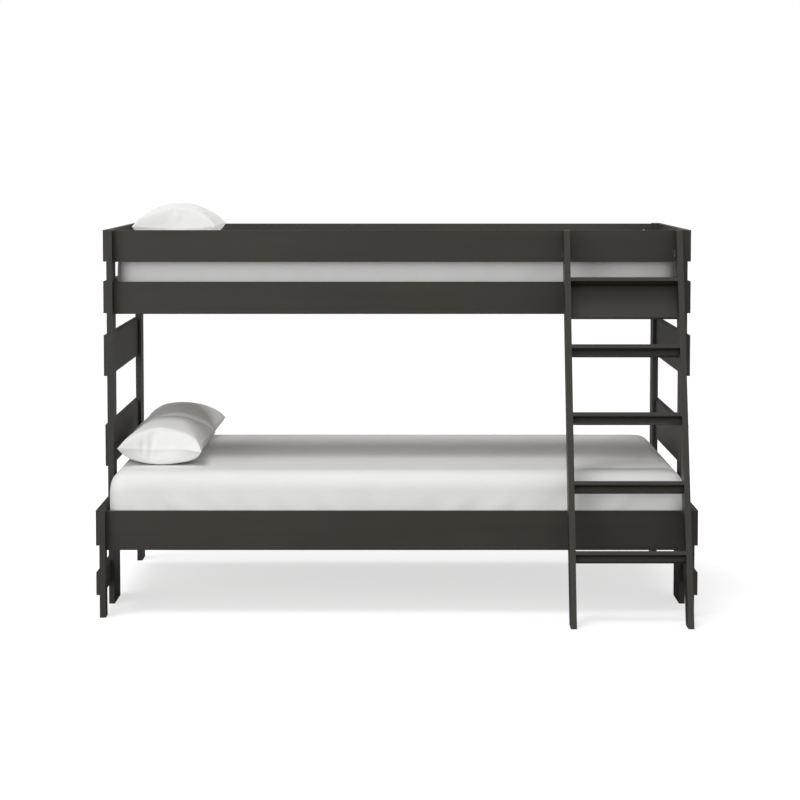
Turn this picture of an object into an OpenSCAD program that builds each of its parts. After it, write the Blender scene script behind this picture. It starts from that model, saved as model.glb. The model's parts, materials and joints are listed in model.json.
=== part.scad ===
// Stacking bunk bed, twin over full, with a plank ladder that leans against the guardrail.
// Millimetres. +Z is up and the floor is Z = 0; X = 0 and Y = 0 are the middle of the footprint.
// +X is the end where the ladder stands, and -Y is the side that it leans against.

/* [Planks] */
// Width over the end boards
overall_w = 2024; // [1960:2:2100]
// Depth from the front leg's face to the back post's back
bed_depth = 1482; // [1476:2:1520]
// Thickness of every post, board and rail
plank_t = 20; // [18:0.5:22]
// How far the end boards stand proud of the posts
board_proud = 11; // [8:0.5:13]
// Depth of the posts, front to back
post_d = 118; // [110:1:124]

/* [Lower bed] */
// Height of the joint between the two beds
seam_z = 694; // [680:1:720]
// Height of the front legs and the end rails' tops
leg_h = 364; // [350:1:380]
// Depth of the front leg
front_leg_d = 62; // [60:1:70]
// Front leg's face to the mid post's face
mid_post_y = 304; // [290:1:310]
// Depth of the short leg behind the mid post
inner_leg_d = 82; // [60:1:100]
// Height of the lower side rail's plank
low_rail_h = 133; // [125:1:136]
// How far the lower side rails sit below the end rails' tops
low_rail_drop = 7; // [0:0.5:10]
// How far the lower side rails stand back from the leg's face
low_rail_inset = 42; // [38:1:42]
// Height of the end rail's plank
end_rail_h = 119; // [110:1:125]
// Underside of the low stretcher
stretcher_z = 77; // [60:1:90]
// Height of the low stretcher's plank
stretcher_h = 77; // [60:1:90]
// Underside of the lower end panel
panel_z = 478; // [470:1:490]
// Height of the lower end panel
panel_h = 144; // [120:1:150]
// How far the lower end panel stops short of the mid post's face
panel_inset = 30; // [0:1:34]

/* [Upper bed] */
// Height of the whole frame
frame_h = 1297; // [1290:1:1320]
// Height of the top end board
guard_h = 108; // [100:1:112]
// Height of the guardrail
guard_rail_h = 109.5; // [100:0.5:112]
// How far the guardrails sit below the top end boards
guard_drop = 1.5; // [0:0.5:8]
// Underside of the middle end board
side_rail_z = 1011; // [1005:1:1020]
// Height of the middle end board
side_rail_h = 110; // [104:1:116]
// Height of the upper side rail
high_rail_h = 111.5; // [104:0.5:116]
// How far the upper side rails sit below the middle end boards
high_rail_drop = 4; // [0:0.5:8]
// Underside of the low end board
low_board_z = 794; // [786:1:800]
// Height of the low end board
low_board_h = 141; // [130:1:145]

/* [Slats] */
// Number of slats in each bed
slat_count = 13; // [10:1:15]
// Width of a slat
slat_w = 70; // [60:1:80]
// Thickness of a slat
slat_t = 18; // [16:1:20]
// Side of the square cleats that carry the slats
cleat_s = 20; // [18:1:22]
// Top of the lower slats
low_slat_z = 270; // [266:1:274]
// Top of the upper slats
high_slat_z = 1052; // [1050:1:1056]
// Height of the centre beam
beam_h = 60; // [50:1:70]

/* [Ladder] */
// Width over the ladder's rails
ladder_w = 406; // [380:1:430]
// Gap between the ladder and the post
ladder_gap = 3; // [2.5:0.5:8]
// Thickness of a ladder rail
ladder_t = 20; // [18:0.5:22]
// Depth of a ladder rail, level with the floor
ladder_d = 88; // [84:1:92]
// How far the ladder's feet stand out from the front leg's face
ladder_reach = 236; // [228:1:244]
// Top of the first rung, at its front edge
first_rung_z = 246.5; // [240:0.5:256]
// Height from rung to rung
rung_pitch = 223.25; // [222:0.25:225]
// Thickness of a rung's plank
rung_t = 13; // [12:1:16]
// Height of the batten under a rung
batten_h = 16; // [12:1:24]
// Depth of the batten under a rung
batten_t = 27; // [18:1:30]
// How far the batten stands back from the rung's front edge
batten_inset = 32; // [20:1:34]
// Height of the board below the top rung
cross_board_h = 112; // [105:1:125]

/* [Bedding] */
// Length of the lower mattress in its sheet
low_mattress_l = 1950; // [1905:1:1954]
// Top of the lower mattress
low_mattress_top = 491; // [480:1:500]
// Length of the upper mattress in its sheet
high_mattress_l = 1950; // [1905:1:1954]
// Width of the upper mattress
high_mattress_w = 1000; // [970:1:1010]
// Top of the upper mattress
high_mattress_top = 1240; // [1225:1:1245]
// Length of a pillow
pillow_l = 600; // [560:1:620]
// Width of a pillow
pillow_w = 300; // [280:1:330]
// Thickness of a pillow
pillow_t = 140; // [120:1:150]

/* [Hidden] */
$fn = 32;

LEFT = -1;
RIGHT = 1;
FRONT = -1;
BACK = 1;
PAINT = "#3d3c38";
STEEL = "#9a9b9c";
BEECH = "#cdb58c";
FELT = "#2a2927";
LINEN = "#f0efec";

// Planks and posts
board_x = overall_w / 2;
post_x = board_x - board_proud;
inner_x = post_x - plank_t;
housing_d = plank_t - board_proud;
pad_t = 3;

// Front to back
front_y = (ladder_reach - bed_depth) / 2;
back_y = front_y + bed_depth;
mid_y = front_y + mid_post_y;
back_post_y = back_y - post_d;
inner_leg_y = mid_y + post_d;
rail_inset = (post_d - plank_t) / 2;
low_rail_y = [front_y + low_rail_inset, back_y - low_rail_inset - plank_t];
high_rail_y = [mid_y + rail_inset, back_y - rail_inset - plank_t];
guard_z = frame_h - guard_h;
guard_rail_z = frame_h - guard_drop - guard_rail_h;
high_rail_z = side_rail_z + side_rail_h - high_rail_drop - high_rail_h;
low_rail_z = leg_h - low_rail_drop - low_rail_h;
end_rail_z = leg_h - end_rail_h;
panel_y = mid_y + panel_inset;

// Rail bolts: a head let into the end board, and a barrel nut in the rail
bolt_r = 3;
bolt_hole_r = 3.3;
bolt_head_r = 7;
bolt_head_h = 3;
bolt_sink_r = 8;
bolt_sink_d = 4;
nut_r = 5;
nut_hole_r = 5.1;
nut_l = 16;
nut_in = 34;
nut_bore_r = 3.05;
bolt_tip_in = nut_in + 8;
nut_hole_d = nut_l + 2;
bolt_edge = 28;
low_bolt_z = [end_rail_z + bolt_edge, leg_h - bolt_edge];
side_bolt_z = [side_rail_z + bolt_edge, side_rail_z + side_rail_h - bolt_edge];
guard_bolt_z = [guard_z + bolt_edge, frame_h - bolt_edge];
high_bolt_z = concat(side_bolt_z, guard_bolt_z);

// Wood screws that hold the other end boards
screw_r = 2;
screw_head_r = 4.4;
screw_head_h = 2.4;
screw_l = 26;
screw_play = 0.1;
screw_edge = 24;

// End boards: [front, underside, length, height]
end_rail_box = [front_y, end_rail_z, bed_depth, end_rail_h];
stretcher_box = [front_y, stretcher_z, inner_leg_y + inner_leg_d - front_y, stretcher_h];
panel_box = [panel_y, panel_z, back_y - panel_y, panel_h];
top_board_box = [mid_y, guard_z, back_y - mid_y, guard_h];
middle_board_box = [mid_y, side_rail_z, back_y - mid_y, side_rail_h];
low_board_box = [mid_y, low_board_z, back_y - mid_y, low_board_h];
low_boards = [end_rail_box, stretcher_box, panel_box];
high_boards = [top_board_box, middle_board_box, low_board_box];

// Where the end boards are screwed and bolted to the legs and posts: [y, z]
leg_mid = front_y + front_leg_d / 2;
post_mid = mid_y + post_d / 2;
inner_leg_mid = inner_leg_y + inner_leg_d / 2;
back_mid = back_y - post_d / 2;
panel_spots = [for (y = [post_mid, back_mid], z = two(panel_z, panel_h)) [y, z]];
stretcher_spots = [for (y = [leg_mid, post_mid, inner_leg_mid], z = two(stretcher_z, stretcher_h)) [y, z]];
end_rail_spots = [for (z = low_bolt_z) [post_mid, z]];
low_screws = concat(panel_spots, stretcher_spots, end_rail_spots);
high_screws = [for (y = [post_mid, back_mid], z = two(low_board_z, low_board_h)) [y, z]];
low_bolts = [for (y = low_rail_y, z = low_bolt_z) [y + plank_t / 2, z]];
high_bolts = [for (y = high_rail_y, z = high_bolt_z) [y + plank_t / 2, z]];

// Stacking pins
pin_r = 5;
pin_in = 40;
pin_play = 0.3;
pin_spread = 35;

// Slats
slat_gap = 1;
slat_run = 2 * inner_x - 2 * cleat_s;
beam_y = (low_rail_y[0] + low_rail_y[1] + plank_t) / 2;
hanger_t = 3;
hanger_w = plank_t + 2 * hanger_t;
hanger_seat = 25;
hanger_cheek = 40;
hanger_top = end_rail_z + 50;

// Ladder
rung_count = 5;
ladder_x = inner_x - ladder_gap - ladder_w;
ladder_play = 1;
ladder_back_y = high_rail_y[0] - ladder_play;
ladder_foot_y = front_y - ladder_reach;
lean = atan((ladder_back_y - ladder_foot_y - ladder_d) / frame_h);
rail_deep = ladder_d * cos(lean);
rung_x = ladder_x + ladder_t;
rung_w = ladder_w - 2 * ladder_t;
rung_d = rail_deep - 2;
tenon_l = 8;
tenon_inset = 12;
tenon_play = 0.1;
tongue_w = 10;
tongue_t = 3;
tongue_gap = 6;
tongue_z = [1200, 1236, 1262];
receiver_w = 18;
receiver_d = 16;
receiver_z = [1204, 1230];
receiver_slot_w = 12;
receiver_slot_y = [4.5, 11.5];

// Bedding
bed_gap = 6;
rest_gap = 0.5;
cover_t = 12;
mattress_r = 40;
pillow_seam = 0.42;
low_pillow_x = -958;
high_pillow_x = -941;
low_pillow_y = [front_y + 187, front_y + 791];
high_pillow_y = front_y + 590;

function lean_y(z) = ladder_foot_y + z * tan(lean);
function rung_z(n) = first_rung_z + (n - 1) * rung_pitch;
function two(z, h) = [z + screw_edge, z + h - screw_edge];

// Everything with a left and a right is drawn at the right, and mirrored for the left.
module on_side(side) {
    mirror([side == LEFT ? 1 : 0, 0, 0]) children();
}

module both_sides() {
    for (side = [LEFT, RIGHT]) on_side(side) children();
}

module bolt_cut(y, z) {
    translate([inner_x - bolt_tip_in - 1, y, z]) rotate([0, 90, 0])
        cylinder(h = board_x - inner_x + bolt_tip_in + 2, r = bolt_hole_r);
    translate([board_x - bolt_sink_d, y, z]) rotate([0, 90, 0])
        cylinder(h = bolt_sink_d + 1, r = bolt_sink_r);
}

module bolt(y, z) {
    translate([inner_x - bolt_tip_in, y, z]) rotate([0, 90, 0])
        cylinder(h = board_x - bolt_sink_d - inner_x + bolt_tip_in, r = bolt_r);
    translate([board_x - bolt_sink_d, y, z]) rotate([0, 90, 0])
        difference() {
            cylinder(h = bolt_head_h, r = bolt_head_r);
            translate([0, 0, 1]) cylinder(h = bolt_head_h, r = 2.5, $fn = 6);
        }
}

module barrel_nut(y, z) {
    difference() {
        translate([inner_x - nut_in, y + nut_l / 2, z]) rotate([90, 0, 0])
            cylinder(h = nut_l, r = nut_r);
        translate([inner_x - nut_in - nut_r - 1, y, z]) rotate([0, 90, 0])
            cylinder(h = 2 * nut_r + 2, r = nut_bore_r);
    }
}

module screw_cut(y, z) {
    translate([board_x, y, z]) rotate([0, -90, 0]) {
        cylinder(h = screw_l + 1, r = screw_r + screw_play);
        translate([0, 0, -screw_play])
            cylinder(h = screw_head_h + screw_play, r1 = screw_head_r + screw_play, r2 = screw_r + screw_play);
    }
}

module screw(y, z) {
    translate([board_x, y, z]) rotate([0, -90, 0]) {
        cylinder(h = screw_l, r = screw_r);
        cylinder(h = screw_head_h, r1 = screw_head_r, r2 = screw_r);
    }
}

// An upright plank at the right, with housings for the end boards that cross it.
module upright(y, d, z0, z1, boards, screws = [], bolts = []) {
    difference() {
        translate([inner_x, y, z0]) cube([plank_t, d, z1 - z0]);
        for (b = boards)
            translate([post_x - housing_d, b[0], b[1]])
                cube([housing_d + 1, b[2], b[3]]);
        for (s = screws) screw_cut(s[0], s[1]);
        for (s = bolts) bolt_cut(s[0], s[1]);
    }
}

// An end board at the right, from its box
module end_board(b, screws = [], bolts = []) {
    difference() {
        translate([board_x - plank_t, b[0], b[1]]) cube([plank_t, b[2], b[3]]);
        for (s = screws) screw_cut(s[0], s[1]);
        for (s = bolts) bolt_cut(s[0], s[1]);
    }
}

// The pins of one post, with play round them and above them
module pins(y, play) {
    for (s = [-pin_spread, pin_spread])
        translate([inner_x + plank_t / 2, y + post_d / 2 + s, seam_z - pin_in])
            cylinder(h = 2 * pin_in + play, r = pin_r + play);
}

module front_leg(side) {
    color(PAINT) on_side(side)
        upright(front_y, front_leg_d, pad_t, leg_h, low_boards, low_screws, low_bolts);
}

module low_post(side, y) {
    color(PAINT) on_side(side) difference() {
        upright(y, post_d, pad_t, seam_z, low_boards, low_screws, low_bolts);
        pins(y, 0);
    }
}

module inner_leg(side) {
    color(PAINT) on_side(side)
        upright(inner_leg_y, inner_leg_d, pad_t, leg_h, low_boards, stretcher_spots);
}

module high_post(side, y) {
    color(PAINT) on_side(side) difference() {
        upright(y, post_d, seam_z, frame_h, high_boards, high_screws, high_bolts);
        pins(y, pin_play);
    }
}

module end_panel(side) {
    color(PAINT) on_side(side) end_board(panel_box, panel_spots);
}

module end_rail(side) {
    color(PAINT) on_side(side) end_board(end_rail_box, end_rail_spots, low_bolts);
}

module low_stretcher(side) {
    color(PAINT) on_side(side) end_board(stretcher_box, stretcher_spots);
}

module top_end_board(side) {
    color(PAINT) on_side(side) end_board(top_board_box, [], high_bolts);
}

module middle_end_board(side) {
    color(PAINT) on_side(side) end_board(middle_board_box, [], high_bolts);
}

module low_end_board(side) {
    color(PAINT) on_side(side) end_board(low_board_box, high_screws);
}

// A long rail between the posts. Its nuts go in from the face that the mattress hides.
module long_rail(face, y, z, h, bolt_zs) {
    nut_y = face == FRONT ? y + plank_t - nut_hole_d : y - 1;
    color(PAINT) difference() {
        translate([-inner_x, y, z]) cube([2 * inner_x, plank_t, h]);
        both_sides() for (bz = bolt_zs) {
            bolt_cut(y + plank_t / 2, bz);
            translate([inner_x - nut_in, nut_y + nut_hole_d + 1, bz]) rotate([90, 0, 0])
                cylinder(h = nut_hole_d + 1, r = nut_hole_r);
        }
    }
}

module rail_bolts(spots) {
    color(STEEL) both_sides() for (s = spots) bolt(s[0], s[1]);
}

module rail_nuts(spots) {
    color(STEEL) both_sides() for (s = spots) barrel_nut(s[0], s[1]);
}

module board_screws(spots) {
    color(STEEL) both_sides() for (s = spots) screw(s[0], s[1]);
}

module stacking_pins() {
    color(STEEL) both_sides() {
        pins(mid_y, 0);
        pins(back_post_y, 0);
    }
}

module foot_pads() {
    color(FELT) both_sides() {
        translate([inner_x, front_y, 0]) cube([plank_t, front_leg_d, pad_t]);
        translate([inner_x, mid_y, 0]) cube([plank_t, post_d + inner_leg_d, pad_t]);
        translate([inner_x, back_post_y, 0]) cube([plank_t, post_d, pad_t]);
    }
}

// Square cleats inside the side rails, with a slat deck on top
module cleats(rail_y, top) {
    z = top - slat_t - cleat_s;
    color(PAINT) for (y = [rail_y[0] + plank_t, rail_y[1] - cleat_s])
        translate([-slat_run / 2, y, z]) cube([slat_run, cleat_s, cleat_s]);
}

module slats(rail_y, top) {
    pitch = (slat_run - slat_w) / (slat_count - 1);
    y = rail_y[0] + plank_t + slat_gap;
    color(BEECH) for (i = [0 : slat_count - 1])
        translate([-slat_run / 2 + i * pitch, y, top - slat_t])
            cube([slat_w, rail_y[1] - slat_gap - y, slat_t]);
}

module centre_beam() {
    length = 2 * (board_x - plank_t - hanger_t);
    color(PAINT) translate([-length / 2, beam_y - plank_t / 2, low_slat_z - slat_t - beam_h])
        cube([length, plank_t, beam_h]);
}

// Bent steel hangers on the end rails, open at the top, that the beam drops into
module beam_hangers() {
    back_x = board_x - plank_t - hanger_t;
    base = low_slat_z - slat_t - beam_h - hanger_t;
    color(STEEL) both_sides() {
        translate([back_x, beam_y - hanger_w / 2, base]) cube([hanger_t, hanger_w, hanger_top - base]);
        translate([back_x - hanger_seat, beam_y - hanger_w / 2, base])
            cube([hanger_seat, hanger_w, hanger_t]);
        for (y = [beam_y - hanger_w / 2, beam_y + plank_t / 2])
            translate([back_x - hanger_seat, y, base]) cube([hanger_seat, hanger_t, hanger_cheek]);
    }
}

// Ladder. A rung's own frame has its top front edge at the origin, and lies square to the rails.
module on_rung(n) {
    translate([0, lean_y(rung_z(n)), rung_z(n)]) rotate([-lean, 0, 0]) children();
}

module rung_tenon(play) {
    translate([rung_x - tenon_l - play, tenon_inset - play, -rung_t - play])
        cube([rung_w + 2 * (tenon_l + play), rung_d - 2 * tenon_inset + 2 * play, rung_t + 2 * play]);
}

module ladder_rail(side) {
    x = side == LEFT ? ladder_x : ladder_x + ladder_w - ladder_t;
    color(PAINT) difference() {
        translate([x, 0, 0]) rotate([90, 0, 90]) linear_extrude(height = ladder_t)
            polygon([
                [lean_y(pad_t), pad_t],
                [lean_y(pad_t) + ladder_d, pad_t],
                [lean_y(frame_h) + ladder_d, frame_h],
                [lean_y(frame_h), frame_h]
            ]);
        for (n = [1 : rung_count]) on_rung(n) rung_tenon(tenon_play);
    }
}

// The top rung has the cross board under it in place of a batten.
module ladder_rung(n) {
    color(PAINT) on_rung(n) {
        rung_tenon(0);
        translate([rung_x, 1, -rung_t]) cube([rung_w, rung_d, rung_t]);
        if (n < rung_count)
            translate([rung_x, batten_inset, -rung_t - batten_h]) cube([rung_w, batten_t, batten_h]);
    }
}

module ladder_cross_board() {
    color(PAINT) on_rung(rung_count)
        translate([rung_x, rung_d - plank_t, -rung_t - cross_board_h])
            cube([rung_w, plank_t, cross_board_h]);
}

// Steel tongues on the backs of the ladder rails, which drop into receivers on the guardrail
module ladder_tongues() {
    tip_y = high_rail_y[0] - tongue_gap - 1;
    color(STEEL) for (x = [ladder_x, ladder_x + ladder_w - ladder_t])
        translate([x + (ladder_t - tongue_w) / 2, 0, 0]) rotate([90, 0, 90])
            linear_extrude(height = tongue_w)
                polygon([
                    [tip_y, tongue_z[2]],
                    [lean_y(tongue_z[2]) + ladder_d, tongue_z[2]],
                    [lean_y(tongue_z[1]) + ladder_d, tongue_z[1]],
                    [tip_y - tongue_t, tongue_z[1]],
                    [tip_y - tongue_t, tongue_z[0]],
                    [tip_y, tongue_z[0]]
                ]);
}

module ladder_receivers() {
    y = high_rail_y[0] - receiver_d;
    tall = receiver_z[1] - receiver_z[0];
    color(STEEL) for (x = [ladder_x, ladder_x + ladder_w - ladder_t])
        translate([x + ladder_t / 2, y, receiver_z[0]]) difference() {
            translate([-receiver_w / 2, 0, 0]) cube([receiver_w, receiver_d, tall]);
            translate([-receiver_slot_w / 2, receiver_slot_y[0], -1])
                cube([receiver_slot_w, receiver_slot_y[1] - receiver_slot_y[0], tall + 2]);
        }
}

module ladder_foot_pads() {
    color(FELT) for (x = [ladder_x, ladder_x + ladder_w - ladder_t])
        translate([x, ladder_foot_y, 0]) cube([ladder_t, ladder_d, pad_t]);
}

// A block with rounded upright corners
module rounded_block(x0, x1, y0, y1, z0, z1, r) {
    translate([0, 0, z0]) linear_extrude(height = z1 - z0) hull()
        for (x = [x0 + r, x1 - r], y = [y0 + r, y1 - r]) translate([x, y]) circle(r = r);
}

// A mattress is its cover, and the light foam and springs inside it are left hollow.
module mattress(length, y0, y1, z0, z1) {
    color(LINEN) difference() {
        rounded_block(-length / 2, length / 2, y0, y1, z0, z1, mattress_r);
        rounded_block(-length / 2 + cover_t, length / 2 - cover_t, y0 + cover_t, y1 - cover_t,
            z0 + cover_t, z1 - cover_t, mattress_r - cover_t);
    }
}

module lower_mattress() {
    mattress(low_mattress_l, low_rail_y[0] + plank_t + bed_gap, low_rail_y[1] - bed_gap,
        low_slat_z + rest_gap, low_mattress_top);
}

module upper_mattress() {
    centre = (high_rail_y[0] + high_rail_y[1] + plank_t) / 2;
    mattress(high_mattress_l, centre - high_mattress_w / 2, centre + high_mattress_w / 2,
        high_slat_z + rest_gap, high_mattress_top);
}

// A pillow is widest at its seam, and smaller where it rests and at its crown.
module pillow_form(w, l, t) {
    hull() {
        translate([-0.30 * w, -0.36 * l, 0]) cube([0.60 * w, 0.72 * l, 1]);
        translate([-0.5 * w, -0.5 * l, pillow_seam * t]) cube([w, l, 1]);
        translate([-0.38 * w, -0.40 * l, 0.80 * t]) cube([0.76 * w, 0.80 * l, 1]);
        translate([-0.20 * w, -0.26 * l, t - 1]) cube([0.40 * w, 0.52 * l, 1]);
    }
}

module pillow(x, y, z) {
    color(LINEN) translate([x + pillow_w / 2, y + pillow_l / 2, z + rest_gap]) difference() {
        pillow_form(pillow_w, pillow_l, pillow_t);
        translate([0, 0, cover_t])
            pillow_form(pillow_w - 3 * cover_t, pillow_l - 3 * cover_t, pillow_t - 2 * cover_t);
    }
}

front_leg(LEFT);  // front_leg_left
front_leg(RIGHT);  // front_leg_right
low_post(LEFT, mid_y);  // mid_post_left
low_post(RIGHT, mid_y);  // mid_post_right
inner_leg(LEFT);  // inner_leg_left
inner_leg(RIGHT);  // inner_leg_right
low_post(LEFT, back_post_y);  // back_post_left
low_post(RIGHT, back_post_y);  // back_post_right
end_panel(LEFT);  // end_panel_left
end_panel(RIGHT);  // end_panel_right
end_rail(LEFT);  // end_rail_left
end_rail(RIGHT);  // end_rail_right
low_stretcher(LEFT);  // low_stretcher_left
low_stretcher(RIGHT);  // low_stretcher_right
long_rail(FRONT, low_rail_y[0], low_rail_z, low_rail_h, low_bolt_z);  // lower_side_rail_front
long_rail(BACK, low_rail_y[1], low_rail_z, low_rail_h, low_bolt_z);  // lower_side_rail_back
cleats(low_rail_y, low_slat_z);  // lower_cleats
centre_beam();
beam_hangers();
slats(low_rail_y, low_slat_z);  // lower_slats
stacking_pins();
rail_bolts(low_bolts);  // lower_bolts
rail_nuts(low_bolts);  // lower_barrel_nuts
board_screws(low_screws);  // lower_screws
foot_pads();
high_post(LEFT, mid_y);  // upper_front_post_left
high_post(RIGHT, mid_y);  // upper_front_post_right
high_post(LEFT, back_post_y);  // upper_back_post_left
high_post(RIGHT, back_post_y);  // upper_back_post_right
top_end_board(LEFT);  // top_end_board_left
top_end_board(RIGHT);  // top_end_board_right
middle_end_board(LEFT);  // middle_end_board_left
middle_end_board(RIGHT);  // middle_end_board_right
low_end_board(LEFT);  // low_end_board_left
low_end_board(RIGHT);  // low_end_board_right
long_rail(FRONT, high_rail_y[0], guard_rail_z, guard_rail_h, guard_bolt_z);  // guardrail_front
long_rail(BACK, high_rail_y[1], guard_rail_z, guard_rail_h, guard_bolt_z);  // guardrail_back
long_rail(FRONT, high_rail_y[0], high_rail_z, high_rail_h, side_bolt_z);  // upper_side_rail_front
long_rail(BACK, high_rail_y[1], high_rail_z, high_rail_h, side_bolt_z);  // upper_side_rail_back
cleats(high_rail_y, high_slat_z);  // upper_cleats
slats(high_rail_y, high_slat_z);  // upper_slats
rail_bolts(high_bolts);  // upper_bolts
rail_nuts(high_bolts);  // upper_barrel_nuts
board_screws(high_screws);  // upper_screws
ladder_receivers();
ladder_rail(LEFT);  // ladder_rail_left
ladder_rail(RIGHT);  // ladder_rail_right
ladder_rung(1);  // ladder_rung_1
ladder_rung(2);  // ladder_rung_2
ladder_rung(3);  // ladder_rung_3
ladder_rung(4);  // ladder_rung_4
ladder_rung(5);  // ladder_rung_5
ladder_cross_board();
ladder_tongues();
ladder_foot_pads();
lower_mattress();
upper_mattress();
pillow(low_pillow_x, low_pillow_y[0], low_mattress_top);  // lower_pillow_front
pillow(low_pillow_x, low_pillow_y[1], low_mattress_top);  // lower_pillow_back
pillow(high_pillow_x, high_pillow_y, high_mattress_top);  // upper_pillow
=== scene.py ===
import json
import math

import bpy
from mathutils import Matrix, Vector, noise


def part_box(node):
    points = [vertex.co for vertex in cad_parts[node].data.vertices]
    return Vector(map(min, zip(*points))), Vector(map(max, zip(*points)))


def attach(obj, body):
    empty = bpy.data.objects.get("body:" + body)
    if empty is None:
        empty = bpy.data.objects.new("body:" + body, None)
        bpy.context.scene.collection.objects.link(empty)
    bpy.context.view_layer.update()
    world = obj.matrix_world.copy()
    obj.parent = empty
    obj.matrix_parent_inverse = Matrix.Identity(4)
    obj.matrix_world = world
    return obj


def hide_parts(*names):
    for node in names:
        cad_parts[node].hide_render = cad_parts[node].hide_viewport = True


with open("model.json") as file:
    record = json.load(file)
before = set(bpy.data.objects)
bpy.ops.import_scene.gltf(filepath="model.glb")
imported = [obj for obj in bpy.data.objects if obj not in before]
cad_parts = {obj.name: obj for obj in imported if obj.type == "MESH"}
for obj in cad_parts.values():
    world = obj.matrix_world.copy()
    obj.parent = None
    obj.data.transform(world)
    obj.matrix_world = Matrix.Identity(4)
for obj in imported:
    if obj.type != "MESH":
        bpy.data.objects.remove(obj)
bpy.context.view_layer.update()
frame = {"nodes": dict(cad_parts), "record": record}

MM = 0.001
X, Y, Z = 0, 1, 2
NODES = frame["nodes"]


def span(node):
    """A CAD node's lowest and highest corner, as plain lists of numbers."""
    low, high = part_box(node)
    return list(low), list(high)


FRONT_LEG = span("front_leg_left")
# The studio's brightness, from behind the bed round to straight in front: [how far forward, brightness]
AROUND = [(0.0, 0.06), (0.5, 0.34), (0.72, 0.52), (0.86, 1.05), (1.0, 1.70)]
LADDER_LOW, LADDER_HIGH = span("ladder_rail_left")
RAIL_DEPTH = 88 * MM
LEAN = math.atan2(LADDER_HIGH[Y] - LADDER_LOW[Y] - RAIL_DEPTH, LADDER_HIGH[Z] - LADDER_LOW[Z])


# ---------------------------------------------------------------- camera, light and floor

def make_camera():
    """A long lens, level with the guardrail and a little above it, square to the bed's front."""
    distance, height, tilt, lens, sideways = 9.34, 1.527, 4.838, 126.0, 0.00384
    data = bpy.data.cameras.new("camera")
    data.lens = lens
    data.sensor_width = 36.0
    data.shift_x = sideways
    data.clip_end = 200.0
    camera = bpy.data.objects.new("camera", data)
    camera.location = (0.0, FRONT_LEG[0][Y] - distance, height)
    camera.rotation_euler = (math.radians(90.0 - tilt), 0.0, 0.0)
    bpy.context.scene.collection.objects.link(camera)
    bpy.context.scene.camera = camera


def make_light(name, kind, energy, place, target, size=None, angle=None):
    """A lamp that points at a target. Size is an area's width and height, and angle a sun's spread."""
    data = bpy.data.lights.new(name, kind)
    data.energy = energy
    if size:
        data.shape = "RECTANGLE"
        data.size, data.size_y = size
    if angle:
        data.angle = math.radians(angle)
    light = bpy.data.objects.new(name, data)
    light.location = place
    light.rotation_euler = (Vector(target) - Vector(place)).to_track_quat("-Z", "Y").to_euler()
    bpy.context.scene.collection.objects.link(light)


def make_studio():
    """A soft light from the front, brighter on the left, under a key light high in front."""
    world = bpy.data.worlds.new("studio")
    world.use_nodes = True
    g = Graph(world)
    g.nodes.clear()
    output = g.nodes.new("ShaderNodeOutputWorld")
    mix = g.nodes.new("ShaderNodeMixShader")
    path = g.nodes.new("ShaderNodeLightPath")
    around = g.nodes.new("ShaderNodeBackground")
    backdrop = g.nodes.new("ShaderNodeBackground")
    way = g.nodes.new("ShaderNodeTexCoord").outputs["Generated"]
    parts = g.nodes.new("ShaderNodeSeparateXYZ")
    g.links.new(way, parts.inputs["Vector"])
    forward = g.maths("ADD", g.maths("MULTIPLY", parts.outputs["Y"], -0.5), 0.5)
    level = g.ramp(forward, [(at, (0.4 * glow, 0.4 * glow, 0.4 * glow)) for at, glow in AROUND])
    leftward = g.maths("ADD", g.maths("MULTIPLY", parts.outputs["X"], -0.30), 1.0)
    lowness = g.maths("ADD", g.maths("MULTIPLY", parts.outputs["Z"], -0.45), 1.1)
    g.links.new(level, around.inputs["Color"])
    g.links.new(g.maths("MULTIPLY", g.maths("MULTIPLY", leftward, lowness), 2.5), around.inputs["Strength"])
    backdrop.inputs["Color"].default_value = (1.0, 1.0, 1.0, 1.0)
    g.links.new(path.outputs["Is Camera Ray"], mix.inputs["Fac"])
    g.links.new(around.outputs["Background"], mix.inputs[1])
    g.links.new(backdrop.outputs["Background"], mix.inputs[2])
    g.links.new(mix.outputs["Shader"], output.inputs["Surface"])
    bpy.context.scene.world = world
    key_way = Vector((0.22, 0.38, -1.0))
    make_light("key", "SUN", 1.25, -6.0 * key_way, (0, 0, 0), angle=26.0)
    make_light("fill", "AREA", 26.0, (-2.6, -4.2, 1.2), (-0.3, -0.4, 0.7), size=(2.0, 1.6))
    make_light("rear", "AREA", 150.0, (0.5, 3.5, 5.0), (0, 0.5, 0.7), size=(5.0, 2.0))
    bpy.context.scene.view_settings.view_transform = "Standard"


def make_floor():
    """A pale floor, which gives the bed less light from below than its own brightness would."""
    mesh = bpy.data.meshes.new("floor")
    reach = 60.0
    corners = [(-reach, -reach, 0), (reach, -reach, 0), (reach, reach, 0), (-reach, reach, 0)]
    mesh.from_pydata(corners, [], [(0, 1, 2, 3)])
    floor = bpy.data.objects.new("floor", mesh)
    bpy.context.scene.collection.objects.link(floor)
    look, shader = new_material("pale_floor")
    g = Graph(look)
    seen = g.nodes.new("ShaderNodeLightPath").outputs["Is Camera Ray"]
    shader.inputs["Roughness"].default_value = 0.9
    shader.inputs["Specular IOR Level"].default_value = 0.0
    shader.inputs["Emission Color"].default_value = (1.0, 1.0, 1.0, 1.0)
    tones = [(0.0, (0.34, 0.34, 0.34)), (1.0, (0.50, 0.50, 0.50))]
    g.links.new(g.ramp(seen, tones), shader.inputs["Base Color"])
    g.links.new(g.spread(seen, 0.0, 0.66), shader.inputs["Emission Strength"])
    mesh.materials.append(look)


# ---------------------------------------------------------------- materials

def new_material(name):
    look = bpy.data.materials.new(name)
    look.use_nodes = True
    return look, look.node_tree.nodes["Principled BSDF"]


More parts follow.
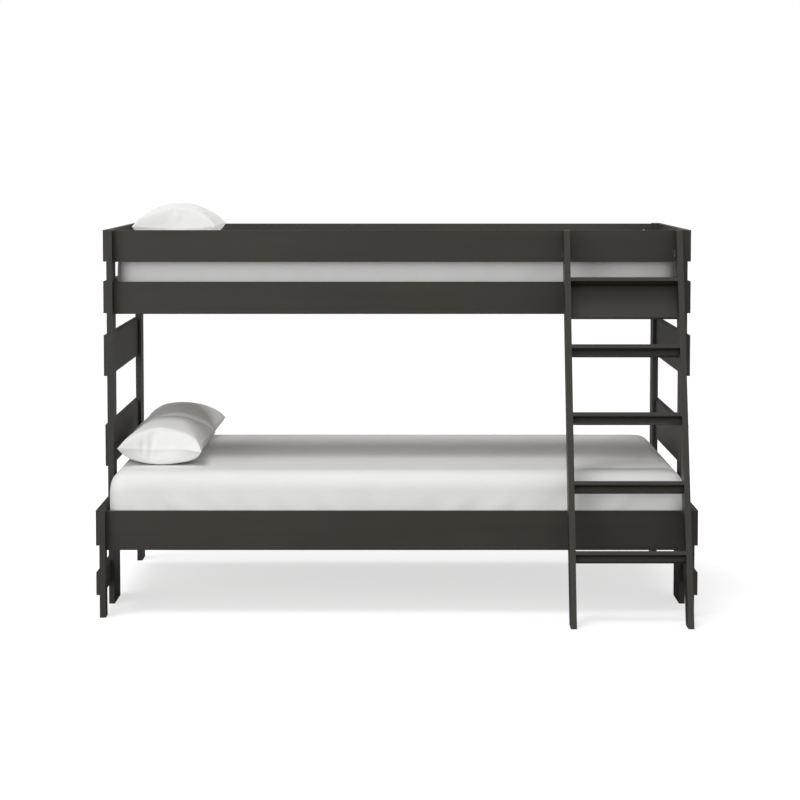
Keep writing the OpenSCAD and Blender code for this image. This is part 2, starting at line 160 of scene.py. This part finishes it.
class Graph:
    """Short names for the few shader nodes that the materials are made of."""

    def __init__(self, look):
        self.nodes, self.links = look.node_tree.nodes, look.node_tree.links

    @property
    def place(self):
        return self.nodes.new("ShaderNodeTexCoord").outputs["Object"]

    def stretched(self, scale, turn=(0.0, 0.0, 0.0)):
        mapping = self.nodes.new("ShaderNodeMapping")
        mapping.inputs["Rotation"].default_value = turn
        mapping.inputs["Scale"].default_value = scale
        self.links.new(self.place, mapping.inputs["Vector"])
        return mapping.outputs["Vector"]

    def noise(self, where, scale, detail=4.0, rough=0.55):
        tex = self.nodes.new("ShaderNodeTexNoise")
        tex.inputs["Scale"].default_value = scale
        tex.inputs["Detail"].default_value = detail
        tex.inputs["Roughness"].default_value = rough
        self.links.new(where, tex.inputs["Vector"])
        return tex.outputs["Fac"]

    def bands(self, scale, axis, where=None, distortion=0.0):
        tex = self.nodes.new("ShaderNodeTexWave")
        tex.bands_direction = axis
        tex.inputs["Scale"].default_value = scale
        tex.inputs["Distortion"].default_value = distortion
        self.links.new(where or self.place, tex.inputs["Vector"])
        return tex.outputs["Fac"]

    def ramp(self, value, stops):
        node = self.nodes.new("ShaderNodeValToRGB")
        ends = node.color_ramp.elements
        ends[0].position, ends[0].color = stops[0][0], (*stops[0][1], 1.0)
        ends[1].position, ends[1].color = stops[-1][0], (*stops[-1][1], 1.0)
        for at, colour in stops[1:-1]:
            ends.new(at).color = (*colour, 1.0)
        self.links.new(value, node.inputs["Fac"])
        return node.outputs["Color"]

    def spread(self, value, low, high):
        node = self.nodes.new("ShaderNodeMapRange")
        node.inputs["To Min"].default_value = low
        node.inputs["To Max"].default_value = high
        self.links.new(value, node.inputs["Value"])
        return node.outputs["Result"]

    def maths(self, what, a, b):
        node = self.nodes.new("ShaderNodeMath")
        node.operation = what
        for socket, value in zip(node.inputs, (a, b)):
            if isinstance(value, float):
                socket.default_value = value
            else:
                self.links.new(value, socket)
        return node.outputs["Value"]

    def bump(self, height, strength, depth, under=None):
        node = self.nodes.new("ShaderNodeBump")
        node.inputs["Strength"].default_value = strength
        node.inputs["Distance"].default_value = depth
        self.links.new(height, node.inputs["Height"])
        if under is not None:
            self.links.new(under, node.inputs["Normal"])
        return node.outputs["Normal"]


ALONG = {"x": (0.06, 1.0, 1.0), "y": (1.0, 0.06, 1.0), "z": (1.0, 1.0, 0.06), "ladder": (1.0, 1.0, 0.06)}


def paint(along):
    """Satin charcoal paint over wood, whose grain still shows faintly along each plank."""
    look, shader = new_material("charcoal_paint_" + along)
    g = Graph(look)
    turn = (LEAN, 0.0, 0.0) if along == "ladder" else (0.0, 0.0, 0.0)
    grain_at = g.stretched(ALONG[along], turn)
    grain = g.noise(grain_at, 210.0, 5.0, 0.6)
    figure = g.noise(grain_at, 26.0, 3.0)
    cloud = g.noise(g.place, 3.2, 3.0)
    scuff = g.noise(g.place, 38.0, 6.0, 0.7)
    tone = g.maths("ADD", g.maths("MULTIPLY", figure, 0.45), g.maths("MULTIPLY", cloud, 0.55))
    shades = [
        (0.32, (0.0255, 0.0227, 0.0162)),
        (0.52, (0.0300, 0.0268, 0.0198)),
        (0.72, (0.0355, 0.0318, 0.0236)),
    ]
    g.links.new(g.ramp(tone, shades), shader.inputs["Base Color"])
    rubbed = g.maths("ADD", g.maths("MULTIPLY", scuff, 0.5), g.maths("MULTIPLY", grain, 0.5))
    g.links.new(g.spread(rubbed, 0.34, 0.56), shader.inputs["Roughness"])
    peel = g.noise(g.place, 420.0, 2.0)
    fine = g.bump(peel, 0.10, 0.0002)
    g.links.new(g.bump(grain, 0.18, 0.0004, fine), shader.inputs["Normal"])
    shader.inputs["Specular IOR Level"].default_value = 0.36
    return look


def beech():
    """Bare sanded slat wood."""
    look, shader = new_material("beech")
    g = Graph(look)
    grain_at = g.stretched(ALONG["y"])
    grain = g.noise(grain_at, 160.0, 6.0, 0.65)
    figure = g.noise(grain_at, 22.0, 4.0)
    tone = g.maths("ADD", g.maths("MULTIPLY", figure, 0.65), g.maths("MULTIPLY", grain, 0.35))
    shades = [(0.3, (0.50, 0.41, 0.30)), (0.5, (0.62, 0.54, 0.42)), (0.7, (0.70, 0.63, 0.52))]
    g.links.new(g.ramp(tone, shades), shader.inputs["Base Color"])
    g.links.new(g.spread(grain, 0.5, 0.72), shader.inputs["Roughness"])
    g.links.new(g.bump(grain, 0.3, 0.0005), shader.inputs["Normal"])
    return look


def zinc():
    """Zinc-plated steel of the hidden fittings."""
    look, shader = new_material("zinc_plate")
    g = Graph(look)
    spangle = g.noise(g.place, 140.0, 5.0)
    shades = [(0.3, (0.42, 0.42, 0.43)), (0.7, (0.60, 0.60, 0.61))]
    g.links.new(g.ramp(spangle, shades), shader.inputs["Base Color"])
    g.links.new(g.spread(g.noise(g.place, 320.0, 3.0), 0.28, 0.5), shader.inputs["Roughness"])
    g.links.new(g.bump(spangle, 0.1, 0.0002), shader.inputs["Normal"])
    shader.inputs["Metallic"].default_value = 0.9
    return look


def felt():
    """Pressed felt under the feet."""
    look, shader = new_material("dark_felt")
    g = Graph(look)
    fibre = g.noise(g.place, 900.0, 6.0, 0.75)
    shades = [(0.3, (0.012, 0.012, 0.011)), (0.7, (0.045, 0.043, 0.040))]
    g.links.new(g.ramp(fibre, shades), shader.inputs["Base Color"])
    g.links.new(g.bump(fibre, 0.7, 0.0012), shader.inputs["Normal"])
    shader.inputs["Roughness"].default_value = 0.95
    shader.inputs["Sheen Weight"].default_value = 0.3
    return look


def cotton(name, tint, weave_mm=0.7):
    """White cotton percale: a fine plain weave, with faint slubs and soft unevenness."""
    look, shader = new_material(name)
    g = Graph(look)
    per_metre = 1.0 / (weave_mm * MM) / 20.0
    warp = g.bands(per_metre, "X")
    weft = g.bands(per_metre, "Y")
    rise = g.bands(per_metre, "Z")
    weave = g.maths("ADD", g.maths("MULTIPLY", warp, weft), g.maths("MULTIPLY", rise, 0.5))
    slub = g.noise(g.stretched((0.2, 1.0, 1.0)), 320.0, 4.0, 0.7)
    cloud = g.noise(g.place, 7.0, 3.0)
    tone = g.maths("ADD", g.maths("MULTIPLY", cloud, 0.6), g.maths("MULTIPLY", slub, 0.4))
    low, high = [c * 0.955 for c in tint], [min(c * 1.02, 0.92) for c in tint]
    g.links.new(g.ramp(tone, [(0.3, tuple(low)), (0.7, tuple(high))]), shader.inputs["Base Color"])
    soft = g.bump(g.noise(g.place, 34.0, 4.0, 0.6), 0.25, 0.003)
    woven = g.bump(weave, 0.12, 0.0003, soft)
    g.links.new(g.bump(slub, 0.12, 0.0004, woven), shader.inputs["Normal"])
    shader.inputs["Roughness"].default_value = 0.88
    shader.inputs["Sheen Weight"].default_value = 0.25
    shader.inputs["Sheen Roughness"].default_value = 0.5
    return look


def ticking():
    """The mattress's own quilted cover, which shows only from below."""
    look, shader = new_material("mattress_ticking")
    g = Graph(look)
    turned = g.stretched((1.0, 1.0, 1.0), (0.0, 0.0, math.radians(45.0)))
    quilt = g.maths("MULTIPLY", g.bands(1.9, "X", turned), g.bands(1.9, "Y", turned))
    yarn = g.noise(g.place, 500.0, 4.0, 0.7)
    shades = [(0.3, (0.70, 0.70, 0.69)), (0.7, (0.80, 0.80, 0.79))]
    g.links.new(g.ramp(yarn, shades), shader.inputs["Base Color"])
    g.links.new(g.bump(yarn, 0.2, 0.0004, g.bump(quilt, 0.8, 0.008)), shader.inputs["Normal"])
    shader.inputs["Roughness"].default_value = 0.9
    return look


# ---------------------------------------------------------------- the CAD nodes

def dress_frame():
    """Every plank gets eased edges and painted wood, and the fittings get their metal or felt."""
    looks = {"steel": zinc(), "felt": felt(), "slat_wood": beech()}
    painted = {way: paint(way) for way in ALONG}
    slots = {row["node"]: row["material_slot"] for row in frame["record"]["subparts"]}
    for name, obj in NODES.items():
        slot = slots[name]
        if slot == "linen":
            continue
        if slot == "paint":
            look = painted[grain_way(name)]
        else:
            look = looks[slot]
        obj.data.materials.clear()
        obj.data.materials.append(look)
        if slot in ("paint", "slat_wood"):
            ease_edges(obj, 1.3 * MM)


def grain_way(name):
    if name.startswith("ladder_rail"):
        return "ladder"
    low, high = span(name)
    size = [b - a for a, b in zip(low, high)]
    if name == "upper_cleats" or name == "lower_cleats":
        return "x"
    return "xyz"[size.index(max(size))]


def ease_edges(obj, width):
    bevel = obj.modifiers.new("eased_edges", "BEVEL")
    bevel.width = width
    bevel.segments = 2
    bevel.limit_method = "ANGLE"
    bevel.angle_limit = math.radians(50.0)


# ---------------------------------------------------------------- soft goods

WHITE = (0.81, 0.81, 0.802)
# How high a pillow's seam is, as a share of its height
SEAM = 0.26
# Where the near pillow's creases are, as shares of its width, and how wide and deep they are
CREASES = (0.28, 0.38, 0.73)
CREASE_WIDE, CREASE_DEEP = 7 * MM, 4 * MM


def mesh_object(name, points, faces, look):
    mesh = bpy.data.meshes.new(name)
    mesh.from_pydata(points, [], faces)
    mesh.materials.append(look)
    for face in mesh.polygons:
        face.use_smooth = True
    obj = bpy.data.objects.new(name, mesh)
    bpy.context.scene.collection.objects.link(obj)
    return obj


def box_grid(low, high, cell, tuck=None):
    """A box's surface in square cells. With tuck, its underside has only that many rows at the rim."""
    counts = [max(2, round((b - a) / cell)) for a, b in zip(low, high)]
    nx, ny, nz = counts
    points, index, faces = [], {}, []

    def at(*key):
        if key not in index:
            index[key] = len(points)
            points.append(Vector([a + (b - a) * k / n for a, b, k, n in zip(low, high, key, counts)]))
        return index[key]

    for i in range(nx):
        for j in range(ny):
            faces.append((at(i, j, nz), at(i + 1, j, nz), at(i + 1, j + 1, nz), at(i, j + 1, nz)))
            if tuck is None or min(i, j, nx - 1 - i, ny - 1 - j) < tuck:
                faces.append((at(i, j, 0), at(i, j + 1, 0), at(i + 1, j + 1, 0), at(i + 1, j, 0)))
    for k in range(nz):
        for i in range(nx):
            faces.append((at(i, 0, k), at(i + 1, 0, k), at(i + 1, 0, k + 1), at(i, 0, k + 1)))
            faces.append((at(i + 1, ny, k), at(i, ny, k), at(i, ny, k + 1), at(i + 1, ny, k + 1)))
        for j in range(ny):
            faces.append((at(nx, j, k), at(nx, j + 1, k), at(nx, j + 1, k + 1), at(nx, j, k + 1)))
            faces.append((at(0, j + 1, k), at(0, j, k), at(0, j, k + 1), at(0, j + 1, k + 1)))
    return points, faces


def round_edges(point, low, high, radius):
    """Where a point of a box's surface goes when the box's edges are rounded."""
    core = Vector([min(max(p, a + radius), b - radius) for p, a, b in zip(point, low, high)])
    return core + (point - core).normalized() * radius


def bump_noise(point, wavelength, seed):
    """Smooth noise from -1 to 1."""
    return noise.noise(point / wavelength + Vector((seed * 17.3, seed * 5.1, seed * 9.7)))


def mattress(node, look):
    """The mattress inside the sheet, which shows from below and through the slats."""
    low, high = span(node)
    inset, under_inset = 5 * MM, 1.5 * MM
    low = [low[X] + inset, low[Y] + inset, low[Z] + under_inset]
    high = [b - inset for b in high]
    radius, cell = 54 * MM, 22 * MM
    points, faces = box_grid(low, high, cell)
    shaped = [round_edges(point, low, high, radius) for point in points]
    obj = mesh_object(node + "_core", shaped, faces, look)
    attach(obj, node)
    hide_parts(node)
    return obj


def fitted_sheet(node, look):
    """An elasticated sheet pulled over a mattress: its top, its sides and a tuck underneath."""
    low, high = span(node)
    cell, tuck_rows, radius = 16 * MM, 4, 60 * MM
    low[Z] += 0.8 * MM
    points, faces = box_grid(low, high, cell, tuck=tuck_rows)
    shaped = []
    for point in points:
        place = round_edges(point, low, high, radius)
        soft = bump_noise(place, 0.30, 1) * 1.6 + bump_noise(place, 0.11, 2) * 0.7
        out = place - Vector([min(max(p, a + radius), b - radius) for p, a, b in zip(place, low, high)])
        if out.length > 0 and place.z > low[Z] + radius:
            place += out.normalized() * soft * MM
        shaped.append(place)
    sheet = mesh_object(node + "_sheet", shaped, faces, look)
    hem = sheet.vertex_groups.new(name="hem")
    hem.add([i for i, p in enumerate(points) if p.z < low[Z] + cell / 2], 1.0, "REPLACE")
    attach(sheet, node)
    return sheet


def pillow(node, seed, look):
    """A filled pillowcase: two flat layers sewn at the rim, blown up and laid down on the bed."""
    low, high = span(node)
    cell = 8 * MM
    middle = [(a + b) / 2 for a, b in zip(low, high)]
    # The flat case is larger than the filled one, and its sides are cut in between its corners
    wide, long = (high[X] - low[X]) * 1.14, (high[Y] - low[Y]) * 1.06
    side_cut, end_cut, gap = 0.05, 0.06, 18 * MM
    across, along = round(wide / cell), round(long / cell)
    points, index, faces = [], {}, []
    seam_z = low[Z] + SEAM * (high[Z] - low[Z])

    def at(i, j, layer):
        rim = i in (0, across) or j in (0, along)
        key = (i, j, 0 if rim else layer)
        if key not in index:
            index[key] = len(points)
            side, end = 2 * i / across - 1, 2 * j / along - 1
            x = wide / 2 * side * (1 - side_cut * (1 - end ** 2))
            y = long / 2 * end * (1 - end_cut * (1 - side ** 2))
            crown = 1 - max(abs(side), abs(end)) ** 4
            puff = layer * gap * crown if not rim else 0.0
            wobble = 1.2 * MM * bump_noise(Vector((x, y, layer * 0.3)), 0.05, seed)
            points.append(Vector((middle[X] + x, middle[Y] + y, seam_z + puff + wobble)))
        return index[key]

    for i in range(across):
        for j in range(along):
            faces.append((at(i, j, 1), at(i + 1, j, 1), at(i + 1, j + 1, 1), at(i, j + 1, 1)))
            faces.append((at(i, j, -1), at(i, j + 1, -1), at(i + 1, j + 1, -1), at(i + 1, j, -1)))
    obj = mesh_object(node + "_case", points, faces, look)
    rim = {index[key] for key in index if key[0] in (0, across) or key[1] in (0, along)}
    crease = obj.data.attributes.new("crease_edge", "FLOAT", "EDGE")
    for edge in obj.data.edges:
        crease.data[edge.index].value = 0.7 if set(edge.vertices) <= rim else 0.0
    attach(obj, node)
    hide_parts(node)
    return obj


def bed_plane(low, high, margin):
    """A flat collider on top of a mattress, for the pillows to rest on."""
    z = low[Z]
    corners = [(low[X] - margin, low[Y] - margin, z), (high[X] + margin, low[Y] - margin, z),
               (high[X] + margin, high[Y] + margin, z), (low[X] - margin, high[Y] + margin, z)]
    mesh = bpy.data.meshes.new("rest")
    mesh.from_pydata(corners, [], [(0, 1, 2, 3)])
    return bpy.data.objects.new("rest", mesh)


def collider(obj, group, outer):
    group.objects.link(obj)
    obj.modifiers.new("collider", "COLLISION")
    obj.collision.thickness_outer = outer
    obj.collision.cloth_friction = 12.0


def cloth(obj, group, frames, bending, pressure=0.0, gravity=1.0, slack=0.0, hold="", stiffness=15.0):
    sim = obj.modifiers.new("cloth", "CLOTH")
    sim.point_cache.frame_end = frames
    settings = sim.settings
    settings.quality = 6
    settings.mass = 0.25
    settings.tension_stiffness = stiffness
    settings.compression_stiffness = stiffness
    settings.shear_stiffness = stiffness / 3
    settings.bending_stiffness = bending
    settings.tension_damping = 10.0
    settings.compression_damping = 10.0
    settings.air_damping = 4.0
    settings.shrink_min = -slack
    settings.vertex_group_mass = hold
    settings.use_pressure = pressure > 0
    settings.uniform_pressure_force = pressure
    settings.effector_weights.gravity = gravity
    sim.collision_settings.collision_quality = 3
    sim.collision_settings.distance_min = 2 * MM
    sim.collision_settings.collection = group


def settle(pieces, frames):
    """Runs the cloth, then keeps where each point ended, at most its cap from where it began."""
    scene = bpy.context.scene
    for frame_number in range(1, frames + 1):
        scene.frame_set(frame_number)
    graph = bpy.context.evaluated_depsgraph_get()
    for obj, cap in pieces:
        ended = [v.co.copy() for v in obj.evaluated_get(graph).data.vertices]
        for vertex, place in zip(obj.data.vertices, ended):
            step = place - vertex.co
            if step.length > cap:
                step *= cap / step.length
            vertex.co += step
        obj.modifiers.remove(obj.modifiers["cloth"])
    scene.frame_set(1)


def fit_to(obj, low, high):
    """Fits a settled pillow to the space that its CAD solid holds."""
    spots = [v.co for v in obj.data.vertices]
    least = [min(p[a] for p in spots) for a in (X, Y, Z)]
    most = [max(p[a] for p in spots) for a in (X, Y, Z)]
    for vertex in obj.data.vertices:
        for a in (X, Y, Z):
            share = (vertex.co[a] - least[a]) / (most[a] - least[a])
            vertex.co[a] = low[a] + share * (high[a] - low[a])


def crumple(obj, low, high):
    """Short creases over a pillow's near seam, and its near right ear pressed down and back."""
    seam_z = low[Z] + SEAM * (high[Z] - low[Z])
    ear = Vector((high[X], low[Y], seam_z))
    ear_reach, ear_moves = 120 * MM, Vector((-16, 20, -20)) * MM
    crease_z, crease_tall, crease_long = seam_z + 22 * MM, 28 * MM, 90 * MM
    normals = [v.normal.copy() for v in obj.data.vertices]
    for vertex, normal in zip(obj.data.vertices, normals):
        share = (vertex.co.x - low[X]) / (high[X] - low[X])
        near = math.exp(-((vertex.co.y - low[Y]) / crease_long) ** 2)
        height = math.exp(-((vertex.co.z - crease_z) / crease_tall) ** 2)
        dent = 0.0
        for at in CREASES:
            across = (share - at) * (high[X] - low[X]) / CREASE_WIDE
            dent += (1 - across ** 2) * math.exp(-0.5 * across ** 2)
        press = max(0.0, 1 - (vertex.co - ear).length / ear_reach) ** 2
        vertex.co -= normal * (CREASE_DEEP * dent * near * height)
        vertex.co += ear_moves * press
        vertex.co.z = max(vertex.co.z, low[Z])


def refine(obj):
    fine = obj.modifiers.new("fine", "SUBSURF")
    fine.levels = 1
    fine.render_levels = 1


def make_bedding():
    percale = cotton("percale", WHITE)
    quilted = ticking()
    frames = 24
    sheet_rest = bpy.data.collections.new("sheet_rest")
    pillow_rest = bpy.data.collections.new("pillow_rest")
    bpy.context.scene.collection.children.link(sheet_rest)
    bpy.context.scene.collection.children.link(pillow_rest)
    moving, helpers, cases = [], [], []
    for node in ("lower_mattress", "upper_mattress"):
        core = mattress(node, quilted)
        sheet = fitted_sheet(node, percale)
        collider(core, sheet_rest, 1.5 * MM)
        cloth(sheet, sheet_rest, frames, slack=0.006, hold="hem", bending=4.0, stiffness=12.0)
        moving.append((sheet, 14 * MM))
        helpers.append(core)
        refine(sheet)
    for seed, node in enumerate(("lower_pillow_front", "lower_pillow_back", "upper_pillow"), start=1):
        case = pillow(node, seed, percale)
        low, high = span(node)
        rest = bed_plane(low, high, 0.1)
        collider(rest, pillow_rest, 1 * MM)
        cloth(case, pillow_rest, frames, pressure=4.0, gravity=0.0, bending=3.0)
        moving.append((case, 120 * MM))
        cases.append((case, rest, low, high))
    settle(moving, frames)
    for core in helpers:
        if core.modifiers.get("collider"):
            core.modifiers.remove(core.modifiers["collider"])
            sheet_rest.objects.unlink(core)
    for case, rest, low, high in cases:
        bpy.data.objects.remove(rest)
        fit_to(case, low, high)
        if case.name.startswith("lower_pillow_front"):
            crumple(case, low, high)
        refine(case)


make_camera()
make_studio()
make_floor()
dress_frame()
make_bedding()
